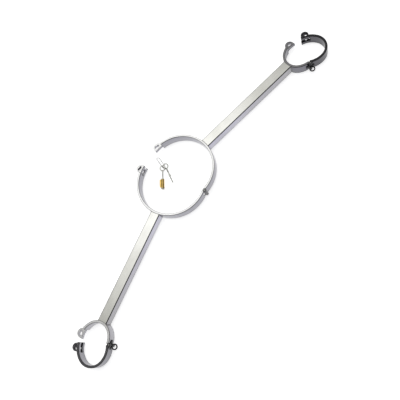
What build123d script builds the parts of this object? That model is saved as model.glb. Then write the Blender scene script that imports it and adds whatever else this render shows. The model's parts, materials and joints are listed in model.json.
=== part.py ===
"""Hinged steel yoke: a two-part neck collar, a rigid bar to either side of it and a hinged wrist cuff
at the far end of each bar, with a removable brass plug lock, its two keys and their wire loop.

It lies flat and part open. Every ring is built in a frame of its own, flat and centred on Z = 0, with
its closure at +Y, its hinge at -Y, its tongue half at -X and its fork half at +X. Millimetres.
"""
from build123d import *
from math import asin, atan2, cos, degrees, radians, sin
import os

# Strip that the rings are rolled from, and the rings
stock_width = 20.0
rim_round = 0.6
collar_bore = 128.0
collar_stock = 4.0
cuff_length = 60.0
cuff_breadth = 51.0
cuff_end_radius = 23.0
cuff_stock = 4.5

# Square tube of the two bars
bar_length = 212.0
bar_width = 18.0
bar_wall = 2.0
bar_corner = 1.5

# Closures: a tongue lug of one half enters between the two ears of the other half
tongue_thickness = 6.6
fork_clearance = 0.3
end_gap = 0.5
tongue_setback = 8.0
tongue_reach = 9.1
tongue_nose = 8.4
ear_reach = 8.2
ear_nose = 7.3
lug_rise = 8.2
nose_offset = 0.7
lug_round = 0.5

# Hinges: one knuckle of the tongue half between two of the fork half, on one pin
hinge_offset = 5.0
pin_stand_off = 0.5
knuckle_radius = 3.2
knuckle_clearance = 0.3
pin_radius = 1.75
pin_running_clearance = 0.06
pin_recess = 0.2
pin_chamfer = 0.4
hinge_gap = 0.4
hinge_slot = 7.0

# Leash eyelets on the two cuff hinges
eyelet_radius = 5.5
eyelet_hole_radius = 3.4
eyelet_thickness = 2.0
eyelet_round = 0.5
hole_chamfer = 0.25
eyelet_reach = 7.5
right_eyelet_shift = 3.0
left_eyelet_shift = 0.6
saddle_thickness = 0.9
strap_length = 5.5
strap_thickness = 1.2
saddle_margin = 0.4

# Plug lock, along +X from its key face, with its pin chamber towards +Y
lock_radius = 3.0
lock_end_play = 0.2
lock_fit = 0.1
tail_cap_length = 1.8
tail_spigot_length = 0.4
chamber_height = 6.0
chamber_width = 3.4
chamber_length = 15.4
chamber_round = 0.8
core_radius = 1.9
core_fit = 0.05
core_recess = 0.2
core_end_play = 0.2
pin_count = 3
first_pin = 3.4
pin_pitch = 3.6
tumbler_radius = 0.6
tumbler_fit = 0.05
tumbler_point = 0.2
tumbler_chamfer = 0.1
shear_gap = 0.06
driver_length = 1.5
spring_wire = 0.22
spring_turns = 4
spring_seat = 0.04
chamber_cap_thickness = 0.8
chamber_cap_width = 2.2
bolt_end_gap = 0.15
bolt_radius = 0.7
bolt_fit = 0.05
bolt_proud = 0.65
bolt_chamfer = 0.25
crank_radius = 1.0
crank_throw = 0.7
crank_length = 1.5
crank_clearance = 0.25
pocket_clearance = 0.3
lock_axis_x = 2.5
lock_axis_rise = 1.4

# Keys and their loop
bow_radius = 6.0
bow_hole_radius = 4.1
bow_distance = 23.2
key_thickness = 1.0
neck_width = 4.0
neck_waist = 2.6
shoulder_width = 4.6
shoulder_length = 1.6
shoulder_gap = 0.1
blade_thickness = 0.9
blade_top = 0.9
blade_bottom = -1.4
blade_end_wall = 0.5
blade_tip = 1.5
keyway_fit = 0.06
keyway_end_play = 0.3
cut_depth = 0.45
cut_width = 1.9
bow_gap = 0.4
loop_wire = 0.8
loop_length = 26.0
loop_spacing = 6.2
loop_gap = 0.25
loop_tip_back = 1.2
bow_spread = 6.6
rest_gap = 0.1

# How it lies: the openings at the hinges, and the lock and keys inside the collar
collar_open = 22.5
right_cuff_open = 30.5
left_cuff_open = 23.0
lock_face_at = (-19.2, 21.3)
lock_heading = 219.5
spare_key_heading = 241.8
bow_line_heading = -14.5
loop_heading = 70.7

# Worked out from the above
half_width = stock_width / 2
half_tongue = tongue_thickness / 2
half_fork = half_tongue + fork_clearance
lock_length = stock_width - 2 * lock_end_play
barrel_length = lock_length - tail_cap_length
spigot_start = barrel_length - tail_spigot_length
core_length = spigot_start - core_end_play - crank_length
bolt_station = spigot_start - bolt_end_gap - bolt_radius
blade_length = core_length - blade_end_wall
wire_radius = loop_wire / 2
beyond = 2 * (collar_bore + cuff_length)
upper = (half_fork, half_width)
lower = (-half_width, -half_fork)
middle = (-half_tongue, half_tongue)


def block(x, y, z):
    """Box between a low and a high limit along each axis."""
    centre = Pos((x[0] + x[1]) / 2, (y[0] + y[1]) / 2, (z[0] + z[1]) / 2)
    return centre * Box(x[1] - x[0], y[1] - y[0], z[1] - z[0])


def rod(radius, z, at=(0, 0)):
    """Upright cylinder between two heights."""
    return Pos(at[0], at[1], (z[0] + z[1]) / 2) * Cylinder(radius, z[1] - z[0])


def long_rod(radius, x, at=(0, 0)):
    """Cylinder along X between two stations, with its axis at the given Y and Z."""
    return Pos((x[0] + x[1]) / 2, at[0], at[1]) * Rot(0, 90, 0) * Cylinder(radius, x[1] - x[0])


def cross_rod(radius, y, at=(0, 0)):
    """Cylinder along Y between two limits, with its axis at the given X and Z."""
    return Pos(at[0], (y[0] + y[1]) / 2, at[1]) * Rot(90, 0, 0) * Cylinder(radius, y[1] - y[0])


def slab(face, z):
    """Plate of a flat outline between two heights."""
    return extrude(Pos(0, 0, z[0]) * face, amount=z[1] - z[0], dir=(0, 0, 1))


# The rings

def circle_outline(grow):
    """Inside outline of the collar, grown outwards."""
    return Sketch() + Circle(collar_bore / 2 + grow)


def oval_outline(grow):
    """Inside outline of a cuff, grown outwards: two end arcs and two flank arcs, all tangent."""
    end_shift = cuff_length / 2 - cuff_end_radius
    rise = cuff_breadth / 2 - cuff_end_radius
    flank_shift = (end_shift**2 - rise**2) / (2 * rise)
    flank_radius = cuff_breadth / 2 + flank_shift + grow
    end_radius = cuff_end_radius + grow
    join = degrees(atan2(flank_shift, end_shift))
    arcs = [
        CenterArc((end_shift, 0), end_radius, -join, 2 * join),
        CenterArc((0, -flank_shift), flank_radius, join, 180 - 2 * join),
        CenterArc((-end_shift, 0), end_radius, 180 - join, 2 * join),
        CenterArc((0, flank_shift), flank_radius, 180 + join, 180 - 2 * join),
    ]
    return Sketch() + make_face(Wire(arcs))


class Ring:
    """One hinged ring: its outline, its wall, and the places that its fittings share."""

    def __init__(self, outline, stock, breadth):
        self.outline = outline
        self.stock = stock
        self.outer = breadth / 2 + stock
        self.pin = (-hinge_offset, -(self.outer + pin_stand_off))
        self.lock = (lock_axis_x, self.outer + lock_axis_rise)

    def wall(self, z):
        """The whole hoop between two heights, square edged."""
        return slab(self.outline(self.stock) - self.outline(0), z)

    def hoop(self):
        """The whole hoop at its full width, with rounded rims."""
        hoop = self.wall((-half_width, half_width))
        levels = hoop.edges().group_by(Axis.Z)
        return fillet(levels[0] + levels[-1], rim_round)


collar = Ring(circle_outline, collar_stock, collar_bore)
cuff = Ring(oval_outline, cuff_stock, cuff_breadth)
cuff_centre = collar.outer + bar_length + cuff_stock + cuff_length / 2


def tongue_band(ring):
    """Half of the hoop that carries the tongue and the middle knuckle."""
    front = block((-beyond, -tongue_setback), (0, beyond), (-beyond, beyond))
    rear = block((-beyond, ring.pin[0] - hinge_gap / 2), (-beyond, 0), (-beyond, beyond))
    band = ring.hoop() & (front + rear)
    band -= rod(knuckle_radius, middle, ring.pin)
    for ends in ((half_tongue, beyond), (-beyond, -half_tongue)):
        band -= rod(knuckle_radius + knuckle_clearance, ends, ring.pin)
    return band


def fork_band(ring):
    """Half of the hoop that carries the two ears and the two outer knuckles."""
    front = block((ear_reach, beyond), (0, beyond), (-beyond, beyond))
    rear = block((ring.pin[0] + hinge_gap / 2, beyond), (-beyond, 0), (-beyond, beyond))
    band = ring.hoop() & (front + rear)
    slot = (-half_fork, half_fork)
    band -= block((-beyond, tongue_reach + end_gap), (0, beyond), slot)
    band -= block((-beyond, ring.pin[0] + hinge_slot), (-beyond, 0), slot)
    for ends in (upper, lower):
        band -= rod(knuckle_radius, ends, ring.pin)
    return band


def lug(ring, x, z, nose_radius, nose_x):
    """Closure plate: the ring's own wall over a stretch of X, with a round nose outside it."""
    wall = ring.hoop() & block(x, (0, beyond), z)
    nose = rod(nose_radius, z, (nose_x, ring.outer + lug_rise - nose_radius))
    nose = fillet(nose.edges().filter_by(GeomType.CIRCLE), lug_round)
    nose -= slab(ring.outline(ring.stock - rim_round), z)
    return wall + nose


def lock_hole(ring, z):
    """Keyhole-shaped hole that the plug lock slides into, its pin chamber towards -X."""
    x, y = ring.lock
    half_slot = chamber_width / 2 + lock_fit
    hole = rod(lock_radius + lock_fit, z, ring.lock)
    return hole + block((x - chamber_height - lock_fit, x), (y - half_slot, y + half_slot), z)


def tongue_lug(ring):
    """Tongue of a closure."""
    nose_x = (tongue_reach - tongue_setback) / 2
    plate = lug(ring, (-tongue_setback, tongue_reach), middle, tongue_nose, nose_x)
    return plate - lock_hole(ring, (-beyond, beyond))


def ear(ring, z):
    """One ear of a closure, with the pocket that the lock's bolt springs into."""
    start = end_gap - tongue_setback
    plate = lug(ring, (start, ear_reach), z, ear_nose, nose_offset)
    plate -= lock_hole(ring, (-beyond, beyond))
    station = half_width - lock_end_play - bolt_station
    height = -station if z[0] > 0 else station
    reach = lock_radius + bolt_proud + pocket_clearance
    pocket = long_rod(bolt_radius + pocket_clearance, (0, reach), (0, 0))
    return plate - Pos(ring.lock[0], ring.lock[1], height) * pocket


def middle_knuckle(ring):
    """Knuckle of the tongue half, free on the pin."""
    bore = rod(pin_radius + pin_running_clearance, middle, ring.pin)
    return rod(knuckle_radius, middle, ring.pin) - bore


def outer_knuckle(ring, z):
    """Knuckle of the fork half, tight on the pin."""
    return rod(knuckle_radius, z, ring.pin) - rod(pin_radius, z, ring.pin)


def hinge_pin(ring):
    """Pin of a hinge, a little short of the knuckles' ends."""
    reach = half_width - pin_recess
    pin = rod(pin_radius, (-reach, reach), ring.pin)
    return chamfer(pin.edges().filter_by(GeomType.CIRCLE), pin_chamfer)


def is_hole_rim(edge):
    """Whether a round edge is a rim of an eyelet's hole."""
    return abs(edge.radius - eyelet_hole_radius) < 0.001


def eyelet(ring, shift):
    """Leash eyelet: a flat ring on a saddle over the middle knuckle, with a strap along the band."""
    x, y = ring.pin
    eye_at = (x - shift, y - eyelet_reach)
    half_eye = eyelet_thickness / 2
    half_saddle = half_tongue - saddle_margin
    eye = rod(eyelet_radius, (-half_eye, half_eye), eye_at)
    eye = fillet(eye.edges().filter_by(GeomType.CIRCLE), eyelet_round)
    eye -= rod(eyelet_hole_radius, (-half_eye, half_eye), eye_at)
    circles = eye.edges().filter_by(GeomType.CIRCLE)
    eye = chamfer(circles.filter_by(is_hole_rim), hole_chamfer)
    heights = (-half_saddle, half_saddle)
    saddle_radius = knuckle_radius + saddle_thickness
    saddle = rod(saddle_radius, heights, ring.pin)
    saddle &= block((x - saddle_radius, x), (-beyond, 0), heights) + block(
        (x, x + knuckle_radius), (-beyond, y), heights
    )
    saddle -= slab(ring.outline(ring.stock), heights)
    strap = slab(ring.outline(ring.stock + strap_thickness) - ring.outline(ring.stock), heights)
    strap &= block((x - knuckle_radius - strap_length, x), (-beyond, 0), heights)
    return eye + saddle + strap - rod(knuckle_radius, (-beyond, beyond), ring.pin)


def bar():
    """Square tube from the collar to the right cuff, its ends shaped to the two rings."""
    section = RectangleRounded(bar_width, stock_width, bar_corner)
    inner = RectangleRounded(bar_width - 2 * bar_wall, stock_width - 2 * bar_wall, bar_corner / 2)
    tube = extrude(Plane.YZ * (section - inner), amount=cuff_centre, dir=(1, 0, 0))
    heights = (-stock_width, stock_width)
    tube -= slab(collar.outline(collar.stock), heights)
    return tube - Pos(cuff_centre, 0, 0) * slab(cuff.outline(cuff.stock), heights)


# The lock

def pin_stations():
    """Stations of the pin chambers along the lock."""
    return [first_pin + index * pin_pitch for index in range(pin_count)]


cap_seat = chamber_height - chamber_cap_thickness
chamber_radius = tumbler_radius + tumbler_fit
cap_length = (pin_count - 1) * pin_pitch + chamber_cap_width


def lock_barrel():
    """Barrel with its pin chamber rib, bored for the core, the pins and the side bolt."""
    half_rib = chamber_width / 2
    rib = block((0, chamber_length), (0, chamber_height), (-half_rib, half_rib))
    rib_top = rib.faces().sort_by(Axis.Y)[-1].edges()
    rib = fillet(rib_top, chamber_round)
    barrel = long_rod(lock_radius, (0, barrel_length)) + rib
    barrel -= long_rod(core_radius + core_fit, (-1, barrel_length + 1))
    for station in pin_stations():
        barrel -= cross_rod(chamber_radius, (0, chamber_height + 1), (station, 0))
    middle_station = first_pin + (pin_count - 1) * pin_pitch / 2
    half_cap = cap_length / 2
    barrel -= block(
        (middle_station - half_cap, middle_station + half_cap),
        (cap_seat, chamber_height + 1),
        (-chamber_cap_width / 2, chamber_cap_width / 2),
    )
    return barrel - cross_rod(bolt_radius + bolt_fit, (-lock_radius - 1, 0), (bolt_station, 0))


def chamber_cap():
    """Strip that closes the spring chambers, flush in the rib's crown."""
    middle_station = first_pin + (pin_count - 1) * pin_pitch / 2
    half_cap = cap_length / 2
    half_strip = chamber_cap_width / 2
    return block(
        (middle_station - half_cap, middle_station + half_cap),
        (cap_seat, chamber_height),
        (-half_strip, half_strip),
    )


def tail_cap():
    """Round steel cap pressed into the barrel's far end."""
    cap = long_rod(lock_radius, (barrel_length, lock_length))
    cap = chamfer(cap.faces().sort_by(Axis.X)[-1].edges(), pin_chamfer)
    return cap + long_rod(core_radius + core_fit, (spigot_start, barrel_length))


def lock_core():
    """Turning core with its keyway, its pin holes and the crank that drives the bolt."""
    core = long_rod(core_radius, (core_recess, core_length))
    half_way = blade_thickness / 2 + keyway_fit
    core -= block(
        (-1, blade_length + keyway_end_play),
        (blade_bottom - keyway_fit, blade_top + keyway_fit),
        (-half_way, half_way),
    )
    for station in pin_stations():
        core -= cross_rod(chamber_radius, (0, core_radius + 1), (station, 0))
    crank_end = core_length + crank_length
    return core + long_rod(crank_radius, (core_length, crank_end), (-crank_throw, 0))


def side_bolt():
    """Small round bolt that the crank lets in and out of the barrel's side."""
    inner_end = -(crank_radius + crank_throw + crank_clearance)
    bolt = cross_rod(bolt_radius, (-(lock_radius + bolt_proud), inner_end), (bolt_station, 0))
    return chamfer(bolt.faces().sort_by(Axis.Y)[0].edges(), bolt_chamfer)


def key_pin(station):
    """Lower pin, resting over the key's edge, its crown within the core's round."""
    foot = blade_top + keyway_fit
    crown = core_radius - shear_gap
    pin = cross_rod(tumbler_radius, (foot, crown), (station, 0))
    pin = chamfer(pin.faces().sort_by(Axis.Y)[0].edges(), tumbler_point)
    return chamfer(pin.faces().sort_by(Axis.Y)[-1].edges(), tumbler_chamfer)


driver_foot = core_radius + shear_gap


def driver_pin(station):
    """Upper pin, held against the shear line by its spring."""
    top = driver_foot + driver_length
    pin = cross_rod(tumbler_radius, (driver_foot, top), (station, 0))
    return chamfer(pin.edges().filter_by(GeomType.CIRCLE), tumbler_chamfer)


def pin_spring(station):
    """Coil spring between a driver pin and the chamber cap."""
    foot = driver_foot + driver_length + spring_seat
    rise = cap_seat - spring_seat - foot - spring_wire
    path = Helix(rise / spring_turns, rise, tumbler_radius - spring_wire / 2)
    start = path @ 0
    section = Plane(start, z_dir=path % 0) * Circle(spring_wire / 2)
    coil = sweep(section, path=path)
    return Pos(station, foot + spring_wire / 2, 0) * Rot(-90, 0, 0) * coil


def key():
    """Flat key along +X: a ring bow, a waisted neck, a shoulder and a cut blade."""
    half = key_thickness / 2
    flat = (-half, half)
    shoulder_end = -shoulder_gap
    shoulder_start = shoulder_end - shoulder_length
    ring_edge = -bow_distance + bow_hole_radius
    neck = make_face(
        Polyline(
            (ring_edge, neck_width / 2),
            (-bow_distance + bow_radius + neck_width / 2, neck_waist / 2),
            (shoulder_start - neck_waist, neck_waist / 2),
            (shoulder_start, shoulder_width / 2),
            (shoulder_end, shoulder_width / 2),
            (shoulder_end, -shoulder_width / 2),
            (shoulder_start, -shoulder_width / 2),
            (shoulder_start - neck_waist, -neck_waist / 2),
            (-bow_distance + bow_radius + neck_width / 2, -neck_waist / 2),
            (ring_edge, -neck_width / 2),
            close=True,
        )
    )
    solid = slab(Sketch() + neck, flat) + rod(bow_radius, flat, (-bow_distance, 0))
    solid -= rod(bow_hole_radius, (-1, 1), (-bow_distance, 0))
    half_blade = blade_thickness / 2
    blade = make_face(
        Polyline(
            (shoulder_end, blade_top),
            (blade_length - blade_tip, blade_top),
            (blade_length, (blade_top + blade_bottom) / 2),
            (blade_length - blade_tip, blade_bottom),
            (shoulder_end, blade_bottom),
            close=True,
        )
    )
    solid += slab(Sketch() + blade, (-half_blade, half_blade))
    for index, station in enumerate(pin_stations()):
        depth = cut_depth * (1 + index % 2) / 2
        notch = make_face(
            Polyline(
                (station - cut_width / 2, blade_top),
                (station - cut_width / 4, blade_top - depth),
                (station + cut_width / 4, blade_top - depth),
                (station + cut_width / 2, blade_top),
                close=True,
            )
        )
        solid -= slab(Sketch() + notch, (-1, 1))
    return solid


def key_loop():
    """Closed wire loop along +X from its near end, flat: two strands and two round ends."""
    bend = loop_spacing / 2
    reach = loop_length / 2 - bend
    path = Wire([
        Line((0, bend), (reach, bend)),
        CenterArc((reach, 0), bend, 90, -180),
        Line((reach, -bend), (-reach, -bend)),
        CenterArc((-reach, 0), bend, -90, -180),
        Line((-reach, bend), (0, bend)),
    ])
    section = Plane(origin=(0, bend, 0), z_dir=(1, 0, 0)) * Circle(wire_radius)
    return Pos(reach + bend, 0, 0) * sweep(section, path=path)


# Where everything lies

def turned(pivot, angle):
    """Turn about an upright axis through a point."""
    return Pos(*pivot) * Rot(0, 0, angle) * Pos(-pivot[0], -pivot[1])


def stepped(start, heading, distance):
    """Point at a distance from another along a heading."""
    x = start[0] + distance * cos(radians(heading))
    return (x, start[1] + distance * sin(radians(heading)))


# A ring whose tongue half points to +X is turned over, which leaves its outline as it was
over = Rot(0, 180, 0)
table = -half_width
collar_pin = (-collar.pin[0], collar.pin[1])
right_arm = turned(collar_pin, -collar_open / 2)
left_arm = turned(collar_pin, collar_open / 2)
right_cuff = right_arm * Pos(cuff_centre, 0)
left_cuff = left_arm * Pos(-cuff_centre, 0) * over
right_gate = right_cuff * turned(cuff.pin, -right_cuff_open)
left_gate = left_cuff * turned(cuff.pin, -left_cuff_open)

key_height = table + lock_radius
bow_at = stepped(lock_face_at, lock_heading, -bow_distance)
lock_place = Pos(*lock_face_at, key_height) * Rot(0, 0, lock_heading) * Rot(180, 0, 0)

spare_height = key_height - key_thickness - bow_gap
spare_bow_at = stepped(bow_at, bow_line_heading, bow_spread)
spare_drop = spare_height - table - key_thickness / 2 - rest_gap
spare_tilt = degrees(asin(spare_drop / (bow_distance + blade_length)))
spare_place = Pos(*spare_bow_at, spare_height) * Rot(0, 0, spare_key_heading) * Rot(0, spare_tilt, 0)

upper_strand = key_height + key_thickness / 2 + loop_gap + wire_radius
lower_strand = spare_height - key_thickness / 2 - loop_gap - wire_radius
loop_tilt = degrees(asin((upper_strand - lower_strand) / loop_spacing))
link_at = stepped(bow_at, bow_line_heading, bow_spread / 2)
loop_tip = stepped(link_at, loop_heading, -loop_tip_back)
loop_place = Pos(*loop_tip, (upper_strand + lower_strand) / 2)
loop_place *= Rot(0, 0, loop_heading) * Rot(loop_tilt, 0, 0)


def ring_pieces(name, ring, tongue_place, fork_place, turned_over):
    """Every piece of one ring's two halves, closure and hinge."""
    high, low = (lower, upper) if turned_over else (upper, lower)
    return {
        f"{name}_tongue_band": tongue_place * tongue_band(ring),
        f"{name}_tongue_lug": tongue_place * tongue_lug(ring),
        f"{name}_middle_knuckle": tongue_place * middle_knuckle(ring),
        f"{name}_fork_band": fork_place * fork_band(ring),
        f"{name}_upper_ear": fork_place * ear(ring, high),
        f"{name}_lower_ear": fork_place * ear(ring, low),
        f"{name}_upper_knuckle": fork_place * outer_knuckle(ring, high),
        f"{name}_lower_knuckle": fork_place * outer_knuckle(ring, low),
        f"{name}_hinge_pin": fork_place * hinge_pin(ring),
    }


def lock_pieces():
    """The lock's case, core and tumblers."""
    pieces = {
        "lock_barrel": lock_barrel(),
        "chamber_cap": chamber_cap(),
        "tail_cap": tail_cap(),
        "lock_core": lock_core(),
        "side_bolt": side_bolt(),
        "lock_key": key(),
    }
    for number, station in enumerate(pin_stations(), start=1):
        pieces[f"key_pin_{number}"] = key_pin(station)
        pieces[f"driver_pin_{number}"] = driver_pin(station)
        pieces[f"pin_spring_{number}"] = pin_spring(station)
    return {name: lock_place * piece for name, piece in pieces.items()}


def yoke():
    """Every piece by its name, where it lies, about the collar's centre and at the strip's mid-height."""
    pieces = {}
    pieces.update(ring_pieces("collar", collar, right_arm * over, left_arm * over, True))
    pieces.update(ring_pieces("right_cuff", cuff, right_cuff, right_gate, False))
    pieces.update(ring_pieces("left_cuff", cuff, left_cuff, left_gate, True))
    pieces["right_cuff_eyelet"] = right_cuff * eyelet(cuff, right_eyelet_shift)
    pieces["left_cuff_eyelet"] = left_cuff * eyelet(cuff, left_eyelet_shift)
    pieces["right_bar"] = right_arm * bar()
    pieces["left_bar"] = left_arm * over * bar()
    pieces.update(lock_pieces())
    pieces["spare_key"] = spare_place * Pos(bow_distance, 0) * key()
    pieces["key_loop"] = loop_place * key_loop()
    return pieces


def main():
    """Set the origin under the middle of the whole and write every piece."""
    pieces = yoke()
    box = Compound(children=[Compound(piece.solids()) for piece in pieces.values()]).bounding_box()
    home = Pos(-box.center().X, -box.center().Y, -box.min.Z)
    os.makedirs("parts", exist_ok=True)
    for name, piece in pieces.items():
        export_step(home * piece, f"parts/{name}.step")


if __name__ == "__main__":
    main()
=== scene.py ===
"""Looks of a hinged steel yoke: brushed bars and rings, black eyelets, a brass plug lock and keys.

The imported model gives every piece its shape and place. This script dresses those pieces, adds the
welds, pin heads and braze that are too fine for it, and sets the table, light and camera.
"""

import json
import logging
import math
from dataclasses import dataclass, field
from enum import Enum
from typing import Mapping, Sequence, Union

import bmesh
import bpy
from mathutils import Matrix, Vector


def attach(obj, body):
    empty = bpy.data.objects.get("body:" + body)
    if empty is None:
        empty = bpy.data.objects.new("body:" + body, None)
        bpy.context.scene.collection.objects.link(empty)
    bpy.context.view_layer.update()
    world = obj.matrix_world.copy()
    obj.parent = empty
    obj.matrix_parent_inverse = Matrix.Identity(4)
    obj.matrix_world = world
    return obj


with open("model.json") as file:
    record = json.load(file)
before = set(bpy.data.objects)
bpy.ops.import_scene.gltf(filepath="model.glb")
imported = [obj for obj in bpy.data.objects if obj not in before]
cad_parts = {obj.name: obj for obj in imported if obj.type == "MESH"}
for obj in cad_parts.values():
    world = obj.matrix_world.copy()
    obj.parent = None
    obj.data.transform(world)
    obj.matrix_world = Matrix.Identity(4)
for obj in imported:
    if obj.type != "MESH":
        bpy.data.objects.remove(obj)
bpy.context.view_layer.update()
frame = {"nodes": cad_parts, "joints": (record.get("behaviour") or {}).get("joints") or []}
log = logging.getLogger("yoke")

Colour = tuple[float, float, float]
Point = tuple[float, float, float]
Span = tuple[float, float]


class Body(Enum):
    """Bodies of the frame that a piece may ride on."""

    RIGHT_ARM = "right_arm"
    LEFT_ARM = "left_arm"
    RIGHT_GATE = "right_gate"
    LEFT_GATE = "left_gate"
    LOOP = "loop"


class Grain(Enum):
    """Which way a surface was brushed or drawn."""

    ALONG = "along"
    AROUND = "around"
    LOOSE = "loose"


# Shader maths


class Term:
    """A number in a shader: arithmetic on it adds Math nodes."""

    def __init__(self, sheet: "Sheet", socket: bpy.types.NodeSocket) -> None:
        """Wraps a socket.

        Args:
            sheet: The sheet that the socket's node is on.
            socket: An output socket that carries a number.
        """
        self.sheet = sheet
        self.socket = socket

    def _join(self, operation: str, first: "Operand", second: "Operand") -> "Term":
        """Adds one Math node.

        Args:
            operation: The node's operation.
            first: Its first operand.
            second: Its second operand.

        Returns:
            The result.
        """
        return self.sheet.add("ShaderNodeMath", {"operation": operation}, {0: first, 1: second})

    def __add__(self, other: "Operand") -> "Term":
        """Sum."""
        return self._join("ADD", self, other)

    def __radd__(self, other: "Operand") -> "Term":
        """Sum, from the right."""
        return self._join("ADD", other, self)

    def __sub__(self, other: "Operand") -> "Term":
        """Difference."""
        return self._join("SUBTRACT", self, other)

    def __rsub__(self, other: "Operand") -> "Term":
        """Difference, from the right."""
        return self._join("SUBTRACT", other, self)

    def __mul__(self, other: "Operand") -> "Term":
        """Product."""
        return self._join("MULTIPLY", self, other)

    def __rmul__(self, other: "Operand") -> "Term":
        """Product, from the right."""
        return self._join("MULTIPLY", other, self)

    def __truediv__(self, other: "Operand") -> "Term":
        """Quotient."""
        return self._join("DIVIDE", self, other)

    def __rtruediv__(self, other: "Operand") -> "Term":
        """Quotient, from the right."""
        return self._join("DIVIDE", other, self)

    def __pow__(self, other: "Operand") -> "Term":
        """Power."""
        return self._join("POWER", self, other)

    def angle_from(self, across: "Operand") -> "Term":
        """Angle of the point (across, self) about the origin, in radians."""
        return self._join("ARCTAN2", self, across)

    def size(self) -> "Term":
        """Absolute value."""
        return self._join("ABSOLUTE", self, 0.0)

    def ramp(self, low: float, high: float) -> "Term":
        """Smooth step.

        Args:
            low: Where it starts to rise from 0.
            high: Where it reaches 1.

        Returns:
            A number from 0 to 1.
        """
        return self.sheet.add(
            "ShaderNodeMapRange",
            {"interpolation_type": "SMOOTHSTEP"},
            {"Value": self, "From Min": low, "From Max": high},
        )


Operand = Union[Term, float]
Feed = Union[Term, float, Sequence[float]]


class Sheet:
    """One node tree, and the one way that nodes are put on it."""

    def __init__(self, tree: bpy.types.NodeTree) -> None:
        """Takes an empty tree.

        Args:
            tree: The tree to build on.
        """
        self.tree = tree
        self.tree.nodes.clear()

    def add(
        self,
        kind: str,
        settings: Mapping[str, object] | None = None,
        feeds: Mapping[str | int, Feed] | None = None,
        output: str | int = 0,
    ) -> Term:
        """Adds a node.

        Args:
            kind: The node's type.
            settings: Its own properties, set first.
            feeds: Values or links for its sockets, by name or number.
            output: The output that is wanted.

        Returns:
            That output.
        """
        node = self.tree.nodes.new(kind)
        for name, value in (settings or {}).items():
            setattr(node, name, value)
        for name, value in (feeds or {}).items():
            socket = node.inputs[name]
            if isinstance(value, Term):
                self.tree.links.new(value.socket, socket)
            else:
                socket.default_value = value
        return Term(self, node.outputs[output] if len(node.outputs) else None)

    def blend(self, factor: Operand, first: Feed, second: Feed, how: str = "MIX") -> Term:
        """Mixes two colours.

        Args:
            factor: How much of the second, from 0 to 1.
            first: The first colour.
            second: The second colour.
            how: The blend type.

        Returns:
            The mixed colour.
        """
        settings = {"data_type": "RGBA", "blend_type": how, "clamp_factor": True}
        feeds = {0: factor, 6: first, 7: second}
        return self.add("ShaderNodeMix", settings, feeds, output=2)

    def vector(self, x: Operand, y: Operand, z: Operand) -> Term:
        """Vector of three numbers."""
        return self.add("ShaderNodeCombineXYZ", None, {"X": x, "Y": y, "Z": z})

    def parts(self, vector: Term) -> tuple[Term, Term, Term]:
        """Three numbers of a vector."""
        split = self.tree.nodes.new("ShaderNodeSeparateXYZ")
        self.tree.links.new(vector.socket, split.inputs[0])
        return tuple(Term(self, socket) for socket in split.outputs)

    def noise(self, vector: Term, scale: float, detail: float, rough: float = 0.5) -> Term:
        """Noise at a point.

        Args:
            vector: Where.
            scale: Its fineness.
            detail: Its octaves.
            rough: How strongly the finer octaves show.

        Returns:
            A number about a half.
        """
        feeds = {"Vector": vector, "Scale": scale, "Detail": detail, "Roughness": rough}
        return self.add("ShaderNodeTexNoise", None, feeds)


def rgba(colour: Colour, shade: float = 1.0) -> tuple[float, float, float, float]:
    """Colour with full alpha, made darker or lighter.

    Args:
        colour: The colour.
        shade: What it is multiplied by.

    Returns:
        Four numbers.
    """
    return (colour[0] * shade, colour[1] * shade, colour[2] * shade, 1.0)


# Finishes


@dataclass(frozen=True)
class Lie:
    """Where a brushed piece's middle is and how far it is turned about the upright, in radians."""

    middle: tuple[float, float] = (0.0, 0.0)
    turn: float = 0.0


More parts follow.
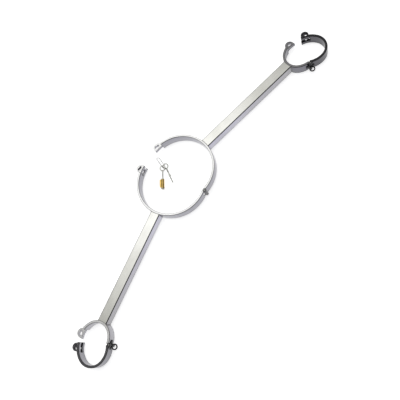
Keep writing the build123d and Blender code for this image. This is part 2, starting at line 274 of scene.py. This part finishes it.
@dataclass(frozen=True)
class Steel:
    """Brushed and polished steel, with dark lines of painted shade along its corners and along the
    top and bottom of its walls.

    The streaks run along the piece or around it, and are a fraction of a millimetre wide. Flat tops
    and side walls get painted shade of their own, the walls more towards their top. A bar is
    painted darker and warm-tinted from its collar end to its cuff end, as painted shade.
    """

    name: str
    colour: Colour = (0.6, 0.6, 0.63)
    roughness: float = 0.24
    grain: Grain = Grain.LOOSE
    lie: Lie = field(default_factory=Lie)
    streak_width: float = 0.00022
    streak_length: float = 0.03
    streak_depth: float = 0.000012
    streak_contrast: float = 0.16
    # Painted shade: how much colour the flat tops and the side walls keep, and the colours they are
    # darkened towards.
    painted_rim_shade: float = 1.0
    painted_wall_shade: float = 1.0
    painted_wall_colour: Colour = (0.02, 0.02, 0.06)
    painted_rim_colour: Colour = (0.02, 0.02, 0.022)
    rim_span: Span = (0.75, 0.95)
    tarnish: Colour = (0.42, 0.41, 0.38)
    tarnish_share: float = 0.25
    tarnish_span: Span = (0.45, 0.75)
    cloud_scale: float = 46.0
    smudge_scale: float = 15.0
    turn_length: float = 0.05
    streak_gloss: float = 0.14
    cloud_gloss: float = 0.12
    corner_gloss: float = 0.06
    bump_strength: float = 0.6
    # Painted shade: dark lines along the corners and along the top and bottom of the walls, wall
    # shade that grows upwards, and shade along a bar towards its cuff.
    corner_width: float = 0.0014
    painted_corner_shade: float = 0.1
    painted_corner_share: float = 0.95
    mid_height: float = 0.01
    lip_at: float = 0.0079
    painted_lip_share: float = 0.85
    lip_blur: float = 0.0007
    painted_wall_rise: float = 0.12
    cuff_shade_from: float = 0.0
    cuff_shade_to: float = 0.0
    cuff_shade_share: float = 0.0
    cuff_shade_wander: float = 0.05
    cuff_shade_colour: Colour = (0.29, 0.286, 0.264)

    def grain_vector(self, sheet: Sheet, place: Term) -> Term:
        """Coordinates that are short along the streaks and long across them.

        Args:
            sheet: The sheet to build on.
            place: The point on the piece.

        Returns:
            The stretched vector.
        """
        x, y, z = sheet.parts(place)
        x, y = x - self.lie.middle[0], y - self.lie.middle[1]
        if self.grain is Grain.LOOSE:
            share = 1.0 / (4 * self.streak_width)
            return sheet.vector(x * share, y * share, z * share)
        across = 1.0 / self.streak_width
        if self.grain is Grain.ALONG:
            ahead = x * math.cos(self.lie.turn) + y * math.sin(self.lie.turn)
            aside = y * math.cos(self.lie.turn) - x * math.sin(self.lie.turn)
            return sheet.vector(ahead / self.streak_length, aside * across, z * across)
        radius = (x * x + y * y) ** 0.5
        about = y.angle_from(x) * self.turn_length
        return sheet.vector(about / self.streak_length, radius * across, z * across)

    def build(self) -> bpy.types.Material:
        """Makes the material.

        Returns:
            The material.
        """
        material = bpy.data.materials.new(self.name)
        material.use_nodes = True
        sheet = Sheet(material.node_tree)
        place = sheet.add("ShaderNodeTexCoord", None, None, "Object")
        face = sheet.add("ShaderNodeNewGeometry", None, None, "Normal")
        streak = sheet.noise(self.grain_vector(sheet, place), 1.0, 3.0, 0.62)
        cloud = sheet.noise(place, self.cloud_scale, 3.0)
        smudge = sheet.noise(place, self.smudge_scale, 4.0, 0.6)
        corner = self.painted_corner_mask(sheet, face)
        rim = sheet.parts(face)[2].size().ramp(*self.rim_span)
        plain = sheet.blend(
            streak.ramp(0.25, 0.75),
            rgba(self.colour, 1.0 - self.streak_contrast),
            rgba(self.colour, 1.0 + self.streak_contrast / 2),
        )
        tarnished = smudge.ramp(*self.tarnish_span) * self.tarnish_share
        dulled = sheet.blend(tarnished, plain, rgba(self.tarnish))
        # Painted shade: the flat tops and rims are darkened, and the side walls are darkened and
        # tinted, more towards their top.
        height = sheet.parts(place)[2] - self.mid_height
        foot = height * (self.painted_wall_rise / self.mid_height)
        wall = (1.0 - rim) * (1.0 - self.painted_wall_shade + foot)
        rimmed = sheet.blend(rim * (1.0 - self.painted_rim_shade), dulled, rgba(self.painted_rim_colour))
        shaded = sheet.blend(wall, rimmed, rgba(self.painted_wall_colour))
        cuff_shaded = shaded
        # Painted shade along a bar: darker and warm-tinted towards its cuff end.
        if self.cuff_shade_share:
            cuff_shaded = sheet.blend(self.fade(sheet, place, smudge), shaded, rgba(self.cuff_shade_colour))
        # Painted shade: dark bands along the top and bottom of the side walls, joined with dark
        # lines along the corners.
        near_rim = height.size().ramp(self.lip_at, self.lip_at + self.lip_blur)
        painted_lip_shade = near_rim * (1.0 - rim) * self.painted_lip_share
        line = corner * self.painted_corner_share + painted_lip_shade * (1.0 - corner * self.painted_corner_share)
        lined = sheet.blend(line, cuff_shaded, rgba(self.colour, self.painted_corner_shade))
        gloss = self.roughness + (streak - 0.5) * self.streak_gloss
        gloss = gloss + (cloud - 0.5) * self.cloud_gloss - corner * self.corner_gloss
        bump = sheet.add(
            "ShaderNodeBump",
            None,
            {"Strength": self.bump_strength, "Distance": self.streak_depth, "Height": streak},
        )
        shell = sheet.add(
            "ShaderNodeBsdfPrincipled",
            None,
            {"Base Color": lined, "Roughness": gloss, "Normal": bump, "Metallic": 1.0},
        )
        sheet.add("ShaderNodeOutputMaterial", None, {"Surface": shell})
        return material

    def painted_corner_mask(self, sheet: Sheet, face: Term) -> Term:
        """How near a point is to a corner of the piece, where painted shade is put.

        Args:
            sheet: The sheet to build on.
            face: The surface's normal.

        Returns:
            A number from 0 to 1.
        """
        soft = sheet.add("ShaderNodeBevel", {"samples": 6}, {"Radius": self.corner_width})
        settings = {"operation": "DOT_PRODUCT"}
        likeness = sheet.add("ShaderNodeVectorMath", settings, {0: soft, 1: face}, "Value")
        lean = sheet.parts(face)[2].size()
        turned = lean.ramp(0.08, 0.35) * (1.0 - lean.ramp(0.85, 0.99))
        near = (1.0 - likeness).ramp(0.01, 0.12)
        return near + turned - near * turned

    def fade(self, sheet: Sheet, place: Term, smudge: Term) -> Term:
        """How much painted shade a point of a bar gets, growing from its collar end to its cuff
        end.

        Args:
            sheet: The sheet to build on.
            place: The point on the piece.
            smudge: Broad noise that breaks the fade up.

        Returns:
            A number from 0 to 1.
        """
        x, y, z = sheet.parts(place)
        x, y = x - self.lie.middle[0], y - self.lie.middle[1]
        radius = (x * x + y * y) ** 0.5
        wandered = radius + (smudge - 0.5) * self.cuff_shade_wander
        return wandered.ramp(self.cuff_shade_from, self.cuff_shade_to) * self.cuff_shade_share


@dataclass(frozen=True)
class Plated:
    """Small machined or stamped metal: fine tooling marks, dull spots and painted shade along its
    corners.
    """

    name: str
    colour: Colour
    dull: Colour
    roughness: float = 0.25
    mark_scale: float = 1800.0
    mark_depth: float = 0.00001
    mark_share: float = 0.35
    mark_gloss: float = 0.12
    cloud_scale: float = 260.0
    cloud_gloss: float = 0.2
    corner_gloss: float = 0.08
    bump_strength: float = 0.5
    dull_share: float = 0.6
    corner_width: float = 0.0004
    painted_corner_shade: float = 0.35
    painted_corner_share: float = 0.7

    def build(self) -> bpy.types.Material:
        """Makes the material.

        Returns:
            The material.
        """
        material = bpy.data.materials.new(self.name)
        material.use_nodes = True
        sheet = Sheet(material.node_tree)
        place = sheet.add("ShaderNodeTexCoord", None, None, "Object")
        face = sheet.add("ShaderNodeNewGeometry", None, None, "Normal")
        marks = sheet.noise(place, self.mark_scale, 3.0, 0.65)
        cloud = sheet.noise(place, self.cloud_scale, 3.0)
        # Painted shade: dark lines along the corners.
        soft = sheet.add("ShaderNodeBevel", {"samples": 4}, {"Radius": self.corner_width})
        settings = {"operation": "DOT_PRODUCT"}
        likeness = sheet.add("ShaderNodeVectorMath", settings, {0: soft, 1: face}, "Value")
        corner = (1.0 - likeness).ramp(0.01, 0.15)
        dulled = cloud.ramp(0.4, 0.7) * self.dull_share
        plain = sheet.blend(dulled, rgba(self.colour), rgba(self.dull))
        marked = sheet.blend(marks.ramp(0.3, 0.7) * self.mark_share, plain, rgba(self.colour, 0.8))
        lined = sheet.blend(corner * self.painted_corner_share, marked, rgba(self.dull, self.painted_corner_shade))
        gloss = self.roughness + (cloud - 0.5) * self.cloud_gloss
        gloss = gloss + (marks - 0.5) * self.mark_gloss - corner * self.corner_gloss
        bump = sheet.add(
            "ShaderNodeBump",
            None,
            {"Strength": self.bump_strength, "Distance": self.mark_depth, "Height": marks},
        )
        shell = sheet.add(
            "ShaderNodeBsdfPrincipled",
            None,
            {"Base Color": lined, "Roughness": gloss, "Normal": bump, "Metallic": 1.0},
        )
        sheet.add("ShaderNodeOutputMaterial", None, {"Surface": shell})
        return material


# Helpers for pieces


def dress(nodes: Sequence[str], material: bpy.types.Material) -> None:
    """Gives frame pieces a finish.

    Args:
        nodes: Their names.
        material: The finish.
    """
    for name in nodes:
        for slot in frame["nodes"][name].material_slots:
            slot.material = material
        log.info("%s wears %s", name, material.name)


def pivot(joint: str) -> Vector:
    """Point that a joint turns about.

    Args:
        joint: The joint's name.

    Returns:
        The point.
    """
    return Vector(next(j["pos_m"] for j in frame["joints"] if j["name"] == joint))


def swung(point: Vector, about: Vector, angle: float) -> Vector:
    """Point turned about an upright axis.

    Args:
        point: The point.
        about: A point on the axis.
        angle: The angle in radians.

    Returns:
        The turned point.
    """
    return about + Matrix.Rotation(angle, 3, "Z") @ (point - about)


def piece_from(
    name: str,
    rings: Sequence[Sequence[Vector]],
    material: bpy.types.Material,
    body: Body,
) -> bpy.types.Object:
    """Skins a stack of equal loops into a closed smooth piece.

    Args:
        name: The piece's name.
        rings: The loops, from one end to the other.
        material: Its finish.
        body: The body that it rides on.

    Returns:
        The piece.
    """
    mesh = bmesh.new()
    loops = [[mesh.verts.new(point) for point in ring] for ring in rings]
    count = len(loops[0])
    for low, high in zip(loops, loops[1:]):
        for index in range(count):
            after = (index + 1) % count
            mesh.faces.new((low[index], low[after], high[after], high[index]))
    mesh.faces.new(list(reversed(loops[0])))
    mesh.faces.new(loops[-1])
    bmesh.ops.recalc_face_normals(mesh, faces=mesh.faces)
    data = bpy.data.meshes.new(name)
    mesh.to_mesh(data)
    mesh.free()
    data.shade_smooth()
    data.set_sharp_from_angle(angle=math.radians(50))
    data.materials.append(material)
    piece = bpy.data.objects.new(name, data)
    bpy.context.scene.collection.objects.link(piece)
    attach(piece, body.value)
    log.info("%s rides on %s", name, body.value)
    return piece


# Sub-assemblies


@dataclass
class Layout:
    """Where the rings' middles are, worked out from the joints and a few sizes, in metres."""

    hinge_offset: float = 0.005
    collar_drop: float = 0.0685
    reach: float = 0.3145
    collar_half_open: float = math.radians(11.25)
    right_open: float = math.radians(30.5)
    left_open: float = math.radians(23.0)

    def collar_middle(self, side: int) -> Vector:
        """Middle of one half of the collar.

        Args:
            side: 1 for the right arm, -1 for the left.

        Returns:
            The point.
        """
        hub = pivot("collar_hinge")
        closed = hub + Vector((-self.hinge_offset, self.collar_drop, 0.0))
        return swung(closed, hub, -side * self.collar_half_open)

    def cuff_middle(self, side: int) -> Vector:
        """Middle of a cuff's fixed half.

        Args:
            side: 1 for the right cuff, -1 for the left.

        Returns:
            The point.
        """
        arm = Matrix.Rotation(-side * self.collar_half_open, 3, "Z")
        return self.collar_middle(side) + arm @ Vector((side * self.reach, 0.0, 0.0))

    def gate_middle(self, side: int) -> Vector:
        """Middle of a cuff's moving half.

        Args:
            side: 1 for the right cuff, -1 for the left.

        Returns:
            The point.
        """
        hub = pivot("right_cuff_hinge" if side > 0 else "left_cuff_hinge")
        angle = -self.right_open if side > 0 else self.left_open
        return swung(self.cuff_middle(side), hub, angle)

    def lie(self, middle: Vector, turn: float = 0.0) -> Lie:
        """Lie of a piece about a point."""
        return Lie((middle.x, middle.y), turn)


@dataclass
class Arm:
    """One arm: its bar, its collar half, its cuff's fixed half and the welds that join them."""

    layout: Layout
    side: int
    collar_outer: float = 0.068
    cuff_end_outer: float = 0.0275
    cuff_end_at: float = 0.3075
    half_bar: float = 0.009
    weld_leg: float = 0.0013
    weld_root: float = 0.0004
    weld_low: float = 0.0008
    weld_high: float = 0.0192
    ripple_pitch: float = 0.0011
    ripple_depth: float = 0.16
    ripple_phase: float = 900.0
    run_out: float = 12.0
    end_share: float = 0.35
    weld_hollow: float = 1.6
    weld_levels: int = 112
    weld_steps: int = 8

    @property
    def word(self) -> str:
        """Name of the side."""
        return "right" if self.side > 0 else "left"

    @property
    def body(self) -> Body:
        """Body that the arm is."""
        return Body.RIGHT_ARM if self.side > 0 else Body.LEFT_ARM

    @property
    def turn(self) -> float:
        """How far the arm is turned about the upright."""
        return -self.side * self.layout.collar_half_open

    def placed(self, along: float, aside: float) -> Vector:
        """Point in the arm's own axes.

        Args:
            along: Distance from the collar's middle towards the cuff.
            aside: Distance towards the closures.

        Returns:
            The point on the table.
        """
        spin = Matrix.Rotation(self.turn, 3, "Z")
        return self.layout.collar_middle(self.side) + spin @ Vector((self.side * along, aside, 0.0))

    def weld(
        self,
        name: str,
        corner: tuple[float, float],
        legs: Sequence[Vector],
        finish: bpy.types.Material,
    ) -> None:
        """Fillet weld in one upright corner, rippled along its run and run out at both ends.

        Args:
            name: The piece's name.
            corner: The corner, along and aside in the arm's axes.
            legs: Unit directions of the two walls away from the corner, in the same axes.
            finish: Its material.
        """
        rings = []
        for level in range(self.weld_levels + 1):
            share = level / self.weld_levels
            height = self.weld_low + (self.weld_high - self.weld_low) * share
            fade = min(1.0, self.run_out * min(share, 1 - share) + self.end_share)
            phase = corner[1] * self.ripple_phase
            wave = abs(math.sin(math.pi * height / self.ripple_pitch + phase))
            leg = self.weld_leg * fade * (1 - self.ripple_depth * wave)
            inner = -self.weld_root
            along, aside = corner
            root = legs[0] + legs[1]
            ring = [(along + inner * root.x, aside + inner * root.y)]
            for step in range(self.weld_steps + 1):
                bend = step / self.weld_steps
                first = leg * (1 - bend) ** self.weld_hollow
                second = leg * bend**self.weld_hollow
                ring.append(
                    (
                        along + legs[0].x * first + legs[1].x * second,
                        aside + legs[0].y * first + legs[1].y * second,
                    )
                )
            points = [self.placed(*spot) for spot in ring]
            rings.append([Vector((point.x, point.y, height)) for point in points])
        piece_from(name, rings, finish, self.body)

    def welds(self, finish: bpy.types.Material) -> None:
        """The four upright welds at the two ends of the bar.

        Args:
            finish: Their material.
        """
        for edge, label in ((1, "front"), (-1, "rear")):
            aside = edge * self.half_bar
            lean = math.asin(self.half_bar / self.collar_outer)
            at_collar = self.collar_outer * math.cos(lean)
            wall = Vector((-math.sin(lean), edge * math.cos(lean)))
            self.weld(
                f"{self.word}_bar_collar_weld_{label}",
                (at_collar, aside),
                (Vector((1.0, 0.0)), wall),
                finish,
            )
            lean = math.asin(self.half_bar / self.cuff_end_outer)
            at_cuff = self.cuff_end_at - self.cuff_end_outer * math.cos(lean)
            wall = Vector((math.sin(lean), edge * math.cos(lean)))
            self.weld(
                f"{self.word}_bar_cuff_weld_{label}",
                (at_cuff, aside),
                (Vector((-1.0, 0.0)), wall),
                finish,
            )

    def build(self) -> None:
        """Dresses the arm's pieces and adds its welds."""
        half = "tongue" if self.side > 0 else "fork"
        # Painted shade: each finish darkens its side walls, the bar's with a lavender tint, and the
        # bar darkens towards its cuff.
        bar = Steel(
            f"{self.word}_bar_brushed",
            colour=(0.74, 0.735, 0.74),
            painted_wall_shade=0.6,
            painted_wall_colour=(0.25, 0.24, 0.42),
            lip_at=0.0076,
            painted_lip_share=0.95,
            grain=Grain.ALONG,
            lie=self.layout.lie(self.layout.collar_middle(self.side), self.turn),
            streak_length=0.045,
            cuff_shade_from=0.07,
            cuff_shade_to=0.3,
            cuff_shade_share=0.6,
        ).build()
        band = Steel(
            f"{self.word}_collar_brushed",
            colour=(0.66, 0.655, 0.69),
            painted_wall_shade=0.56,
            roughness=0.2,
            grain=Grain.AROUND,
            lie=self.layout.lie(self.layout.collar_middle(self.side)),
        ).build()
        # Painted shade: the right cuff's fixed half is a darker copy of the left's steel, with more
        # darkened rims.
        cuff = Steel(
            f"{self.word}_cuff_brushed",
            colour=(0.29, 0.286, 0.305) if self.side > 0 else (0.56, 0.555, 0.58),
            grain=Grain.AROUND,
            lie=self.layout.lie(self.layout.cuff_middle(self.side)),
            painted_rim_shade=0.62 if self.side > 0 else 0.95,
            painted_wall_shade=0.68 if self.side > 0 else 0.72,
        ).build()
        ends = [f"collar_{half}_band"]
        ends += ["collar_tongue_lug"] if self.side > 0 else ["collar_upper_ear", "collar_lower_ear"]
        dress([f"{self.word}_bar"], bar)
        dress(ends, band)
        dress([f"{self.word}_cuff_tongue_band", f"{self.word}_cuff_tongue_lug"], cuff)
        self.welds(bar)


@dataclass
class Gate:
    """The moving half of a cuff."""

    layout: Layout
    side: int
    colour: Colour
    painted_rim_shade: float

    def build(self) -> None:
        """Dresses the gate's band and ears."""
        word = "right" if self.side > 0 else "left"
        finish = Steel(
            f"{word}_gate_brushed",
            colour=self.colour,
            roughness=0.27,
            grain=Grain.AROUND,
            lie=self.layout.lie(self.layout.gate_middle(self.side)),
            painted_rim_shade=self.painted_rim_shade,
            tarnish=(0.16, 0.15, 0.15),
        ).build()
        dress([f"{word}_cuff_{part}" for part in ("fork_band", "upper_ear", "lower_ear")], finish)


@dataclass
class Hinge:
    """One hinge: its knuckles and its pin, with the pin's two peened heads."""

    joint: str
    ring: str
    pin_body: Body
    head_radius: float = 0.00134
    head_height: float = 0.00017
    pin_end: float = 0.0002
    width: float = 0.02
    segments: int = 40
    profile: Sequence[Span] = (
        (1.0, -0.6),
        (1.0, 0.0),
        (0.93, 0.42),
        (0.78, 0.7),
        (0.52, 0.9),
        (0.2, 1.0),
    )

    def head(self, top: bool, finish: bpy.types.Material) -> None:
        """Peened head on one end of the pin.

        Args:
            top: Whether it is the upper end.
            finish: Its material.
        """
        hub = pivot(self.joint)
        sign = 1.0 if top else -1.0
        foot = self.width - self.pin_end if top else self.pin_end
        rings = []
        for radius, rise in self.profile:
            ring = []
            for index in range(self.segments):
                angle = 2 * math.pi * index / self.segments
                wobble = 1 + 0.03 * math.sin(3 * angle + hub.x * 90)
                wobble += 0.02 * math.sin(7 * angle)
                reach = self.head_radius * radius * wobble
                height = foot + sign * self.head_height * rise
                spot = (hub.x + reach * math.cos(angle), hub.y + reach * math.sin(angle), height)
                ring.append(Vector(spot))
            rings.append(ring)
        level = "upper" if top else "lower"
        piece_from(f"{self.ring}_pin_head_{level}", rings, finish, self.pin_body)

    def build(self, knuckle: bpy.types.Material, pin: bpy.types.Material) -> None:
        """Dresses the hinge and adds its pin's heads.

        Args:
            knuckle: Finish of the knuckles.
            pin: Finish of the pin.
        """
        dress([f"{self.ring}_{level}_knuckle" for level in ("upper", "middle", "lower")], knuckle)
        dress([f"{self.ring}_hinge_pin"], pin)
        self.head(True, pin)
        self.head(False, pin)


@dataclass
class LockAndKeys:
    """The plug lock, its two keys and their wire loop, with the braze that closes the loop."""

    loop_heading: float = math.radians(70.7)
    braze_at: float = 0.0135
    strand_offset: float = 0.00248
    strand_height: float = 0.00415
    braze_radius: float = 0.00056
    braze_length: float = 0.0026
    segments: int = 24

    def braze(self, finish: bpy.types.Material) -> None:
        """Brazed joint on the loop's upper strand.

        Args:
            finish: Its material.
        """
        ahead = Vector((math.cos(self.loop_heading), math.sin(self.loop_heading), 0.0))
        aside = Vector((-ahead.y, ahead.x, 0.0))
        start = pivot("loop_swing")
        start = Vector((start.x, start.y, self.strand_height))
        middle = start + ahead * self.braze_at + aside * self.strand_offset
        rings = []
        for level in range(17):
            share = level / 8 - 1
            swell = self.braze_radius * (0.45 + 0.55 * math.sqrt(max(0.0, 1 - share**4)))
            swell *= 1 + 0.05 * math.sin(9 * share)
            ring = []
            for index in range(self.segments):
                angle = 2 * math.pi * index / self.segments
                out = aside * math.cos(angle) + Vector((0.0, 0.0, 1.0)) * math.sin(angle)
                ring.append(middle + ahead * (share * self.braze_length / 2) + out * swell)
            rings.append(ring)
        piece_from("key_loop_braze", rings, finish, Body.LOOP)

    def build(self) -> None:
        """Dresses the lock, keys and loop."""
        brass = Plated("lock_brass_turned", (0.72, 0.5, 0.17), (0.42, 0.27, 0.08), 0.28).build()
        core = Plated("core_brass_turned", (0.66, 0.46, 0.17), (0.36, 0.24, 0.08), 0.3).build()
        tail = Plated("tail_steel_turned", (0.52, 0.5, 0.46), (0.3, 0.28, 0.25), 0.3).build()
        nickel = Plated(
            "key_nickel_plate",
            (0.42, 0.42, 0.41),
            (0.02, 0.02, 0.02),
            roughness=0.2,
            dull_share=0.85,
            painted_corner_share=0.9,
        ).build()
        wire = Plated("loop_drawn_wire", (0.035, 0.035, 0.035), (0.01, 0.01, 0.01), 0.22).build()
        numbers = (1, 2, 3)
        dress(["lock_barrel", "chamber_cap"], brass)
        pins = [f"{kind}_pin_{n}" for kind in ("key", "driver") for n in numbers]
        dress(["lock_core", *pins], core)
        dress(["tail_cap", "side_bolt", *(f"pin_spring_{n}" for n in numbers)], tail)
        dress(["lock_key", "spare_key"], nickel)
        dress(["key_loop"], wire)
        self.braze(wire)


@dataclass
class Studio:
    """Table, light and camera."""

    floor_size: float = 60.0
    floor_gap: float = 0.0002
    floor_colour: Colour = (0.93, 0.93, 0.93)
    lamp_height: float = 2.4
    lamp_size: float = 3.2
    lamp_power: float = 14.0
    floor_glow: float = 0.8
    glow_towards: Point = (0.105, 0.42, 0.9)
    glow_span: Span = (0.84, 1.0)
    glow_colour: Colour = (1.55, 1.56, 1.47)
    dark_colour: Colour = (0.1, 0.1, 0.115)
    camera_from_hinge: Point = (-0.101857, -0.337077, 0.817901)
    camera_turn: Point = (17.8834, 15.1271, -52.8954)
    lens: float = 43.573

    def table(self) -> None:
        """Pale floor that the yoke lies on."""
        half = self.floor_size / 2
        data = bpy.data.meshes.new("floor")
        corners = [(-half, -half, 0), (half, -half, 0), (half, half, 0), (-half, half, 0)]
        data.from_pydata(corners, [], [(0, 1, 2, 3)])
        material = bpy.data.materials.new("pale_floor")
        material.use_nodes = True
        sheet = Sheet(material.node_tree)
        place = sheet.add("ShaderNodeTexCoord", None, None, "Object")
        tone = sheet.noise(place, 3.0, 2.0)
        paint = sheet.blend(tone, rgba(self.floor_colour), rgba(self.floor_colour, 0.99))
        shell = sheet.add(
            "ShaderNodeBsdfPrincipled",
            None,
            {
                "Base Color": paint,
                "Roughness": 0.9,
                "Specular IOR Level": 0.1,
                "Emission Color": rgba(self.floor_colour),
                "Emission Strength": self.floor_glow,
            },
        )
        sheet.add("ShaderNodeOutputMaterial", None, {"Surface": shell})
        data.materials.append(material)
        floor = bpy.data.objects.new("floor", data)
        floor.location = (0.0, 0.0, -self.floor_gap)
        bpy.context.scene.collection.objects.link(floor)

    def sky(self) -> None:
        """Soft glow overhead that dims towards the horizon."""
        world = bpy.data.worlds.new("studio")
        world.use_nodes = True
        sheet = Sheet(world.node_tree)
        towards = sheet.add("ShaderNodeTexCoord", None, None, "Generated")
        middle = Vector(self.glow_towards).normalized()
        settings = {"operation": "DOT_PRODUCT"}
        feeds = {0: towards, 1: middle}
        nearness = sheet.add("ShaderNodeVectorMath", settings, feeds, "Value")
        glow = nearness.ramp(*self.glow_span)
        colour = sheet.blend(glow, rgba(self.dark_colour), rgba(self.glow_colour))
        shine = sheet.add("ShaderNodeBackground", None, {"Color": colour, "Strength": 1.0})
        sheet.add("ShaderNodeOutputWorld", None, {"Surface": shine})
        bpy.context.scene.world = world

    def lamp(self) -> None:
        """Broad lamp overhead that lights the table."""
        data = bpy.data.lights.new("broad_lamp", "AREA")
        data.shape = "DISK"
        data.size = self.lamp_size
        data.energy = self.lamp_power
        lamp = bpy.data.objects.new("broad_lamp", data)
        lamp.location = (0.2, 0.3, self.lamp_height)
        lamp.visible_glossy = False
        bpy.context.scene.collection.objects.link(lamp)

    def camera(self) -> None:
        """Camera above and in front, turned so that the yoke runs from low left to high right."""
        data = bpy.data.cameras.new("camera")
        data.lens = self.lens
        data.sensor_width = 36.0
        data.clip_start = 0.02
        data.clip_end = 40.0
        camera = bpy.data.objects.new("camera", data)
        hub = pivot("collar_hinge")
        camera.location = Vector((hub.x, hub.y, 0.0)) + Vector(self.camera_from_hinge)
        camera.rotation_euler = [math.radians(angle) for angle in self.camera_turn]
        bpy.context.scene.collection.objects.link(camera)
        bpy.context.scene.camera = camera

    def build(self) -> None:
        """Sets up the table, the light and the camera."""
        self.camera()
        self.table()
        self.sky()
        self.lamp()
        bpy.context.scene.view_settings.view_transform = "Standard"


def main() -> None:
    """Builds the looks in order."""
    logging.basicConfig(level=logging.INFO, format="%(name)s: %(message)s")
    Studio().build()
    layout = Layout()
    for side in (1, -1):
        Arm(layout, side).build()
    # Painted shade: the gates are darker copies of the arms' steel, the right gate darkest, with
    # darkened rims.
    Gate(layout, 1, (0.12, 0.118, 0.13), 0.2).build()
    Gate(layout, -1, (0.3, 0.297, 0.325), 0.3).build()
    knuckle = Steel("knuckle_turned", colour=(0.14, 0.14, 0.15), roughness=0.3).build()
    # Painted shade: the cuff hinges' knuckles are a darker copy of the collar hinge's.
    cuff_knuckle_shade = Steel("knuckle_turned_shaded", colour=(0.07, 0.07, 0.075), roughness=0.34).build()
    pin = Plated("pin_peened", (0.4, 0.4, 0.4), (0.14, 0.14, 0.15), roughness=0.3).build()
    Hinge("collar_hinge", "collar", Body.LEFT_ARM).build(knuckle, pin)
    Hinge("right_cuff_hinge", "right_cuff", Body.RIGHT_GATE).build(cuff_knuckle_shade, pin)
    Hinge("left_cuff_hinge", "left_cuff", Body.LEFT_GATE).build(cuff_knuckle_shade, pin)
    black = Plated("eyelet_blackened", (0.03, 0.03, 0.032), (0.012, 0.012, 0.013), 0.35).build()
    dress(["right_cuff_eyelet", "left_cuff_eyelet"], black)
    LockAndKeys().build()


if __name__ == "__main__":
    main()
